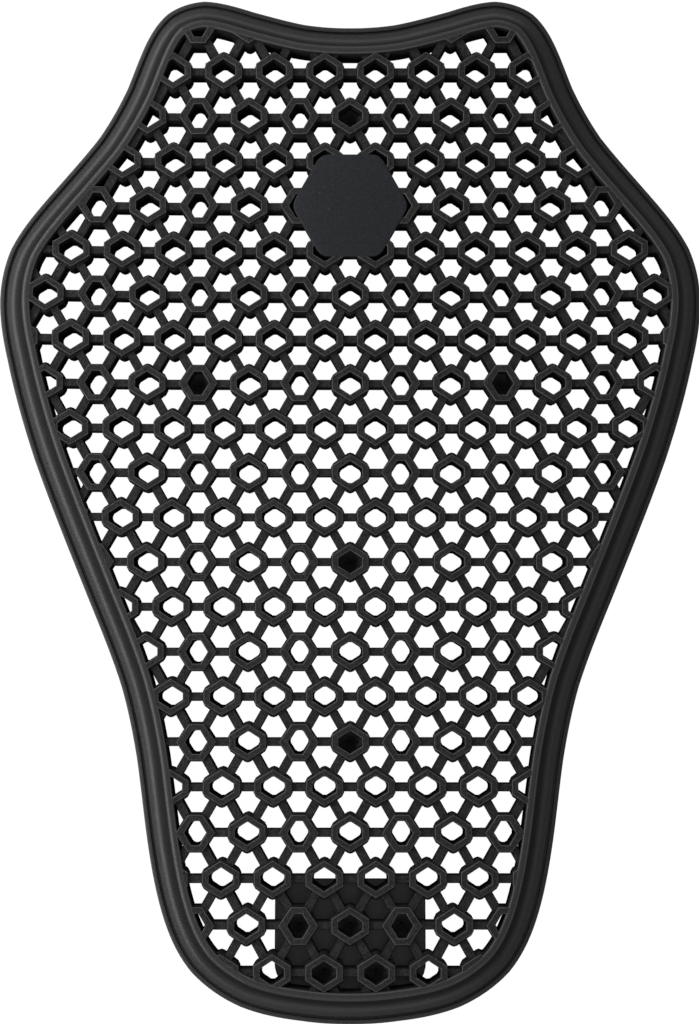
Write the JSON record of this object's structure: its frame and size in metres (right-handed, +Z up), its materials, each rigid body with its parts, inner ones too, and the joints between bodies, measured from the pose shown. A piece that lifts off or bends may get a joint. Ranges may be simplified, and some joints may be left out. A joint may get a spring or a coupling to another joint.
{
  "type": "back protector insert",
  "caption": "Dished elastomer back protector insert: a panel of hexagonal tubes and ribs, cut through for air, inside a moulded rim, slipped into a jacket's back pocket.",
  "frame": {"origin": "middle of the outline, on the surface that the belly lies on", "axes": "+Y towards the neck end, +X to the right seen from the hollow face, +Z up out of the hollow face that lies against the back"},
  "size_m": [0.3022, 0.4372, 0.0268],
  "materials": {
    "smooth_elastomer": "satin moulded black elastomer",
    "grained_elastomer": "matte black elastomer with a fine moulded grain"
  },
  "bodies": {
    "root": {"rim": "smooth_elastomer", "lattice": "grained_elastomer", "label_plate": "grained_elastomer", "back_plate": "grained_elastomer"}
  },
  "joints": []
}
